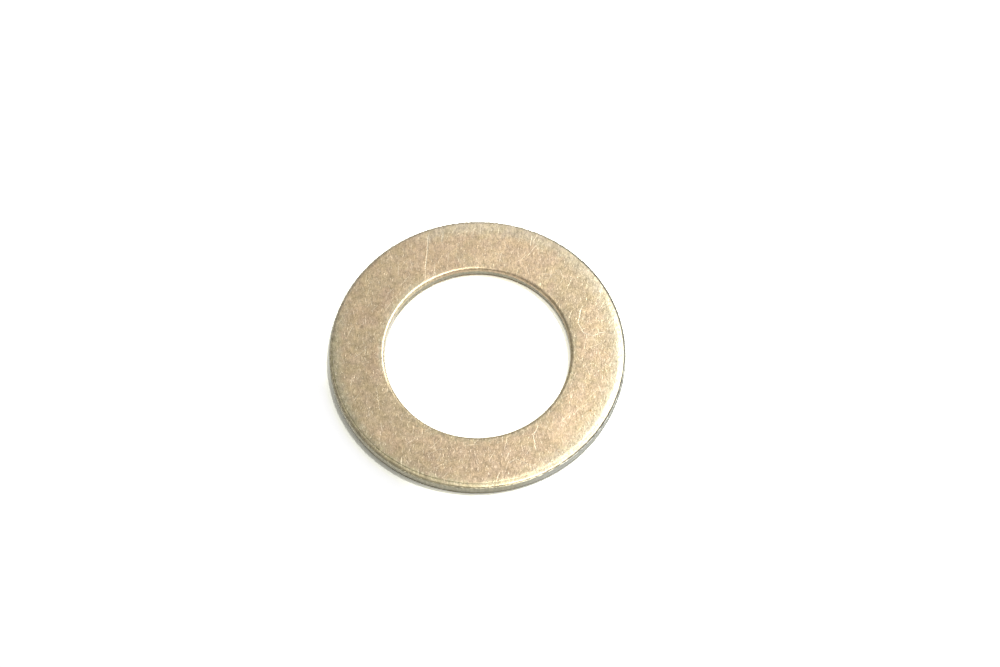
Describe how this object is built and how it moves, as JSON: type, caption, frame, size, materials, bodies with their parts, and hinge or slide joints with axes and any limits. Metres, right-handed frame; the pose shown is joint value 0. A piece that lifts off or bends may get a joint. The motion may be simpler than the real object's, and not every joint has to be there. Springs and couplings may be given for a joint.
{
  "type": "flat washer",
  "caption": "Plain round flat washer with a narrow rim, stamped from steel sheet and plated with yellow zinc.",
  "frame": {"origin": "on the axis of the bore, in the plane of the underside", "axes": "+Z along the axis of the bore, from the underside to the top face, which is the side with the die roll"},
  "size_m": [0.04, 0.04, 0.002],
  "materials": {
    "yellow_zinc": "zinc plated and yellow chromated over tumbled sheet steel, satin with a fine orange-peel grain"
  },
  "bodies": {
    "root": {"flat_washer": "yellow_zinc"}
  },
  "joints": []
}
